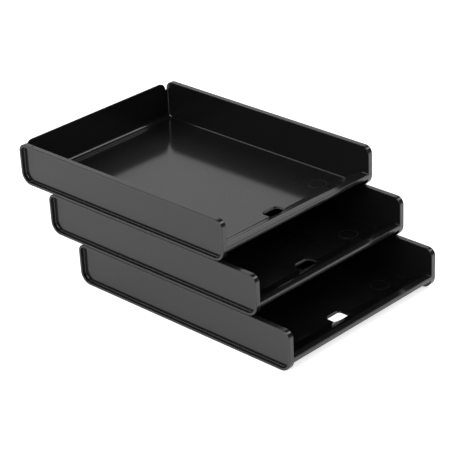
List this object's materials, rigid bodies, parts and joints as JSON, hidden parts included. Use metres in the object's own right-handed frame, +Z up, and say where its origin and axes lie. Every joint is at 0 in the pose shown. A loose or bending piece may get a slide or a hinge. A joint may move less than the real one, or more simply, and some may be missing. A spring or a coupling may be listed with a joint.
{
  "type": "stack of letter trays",
  "caption": "Stack of open-fronted plastic letter trays, staggered front to back, each with rimmed side walls, a low front lip on a ramp, a finger hole and a notched rear wall.",
  "frame": {"origin": "middle of the bounding box at ground level", "axes": "+Z up, -Y towards the open fronts of the trays, +X to the right when the open fronts are faced"},
  "size_m": [0.264, 0.4476, 0.162],
  "materials": {
    "tray_plastic": "satin black, with a fine moulded grain"
  },
  "bodies": {
    "root": {"tray_bottom": "tray_plastic", "tray_middle": "tray_plastic", "tray_top": "tray_plastic"}
  },
  "joints": []
}
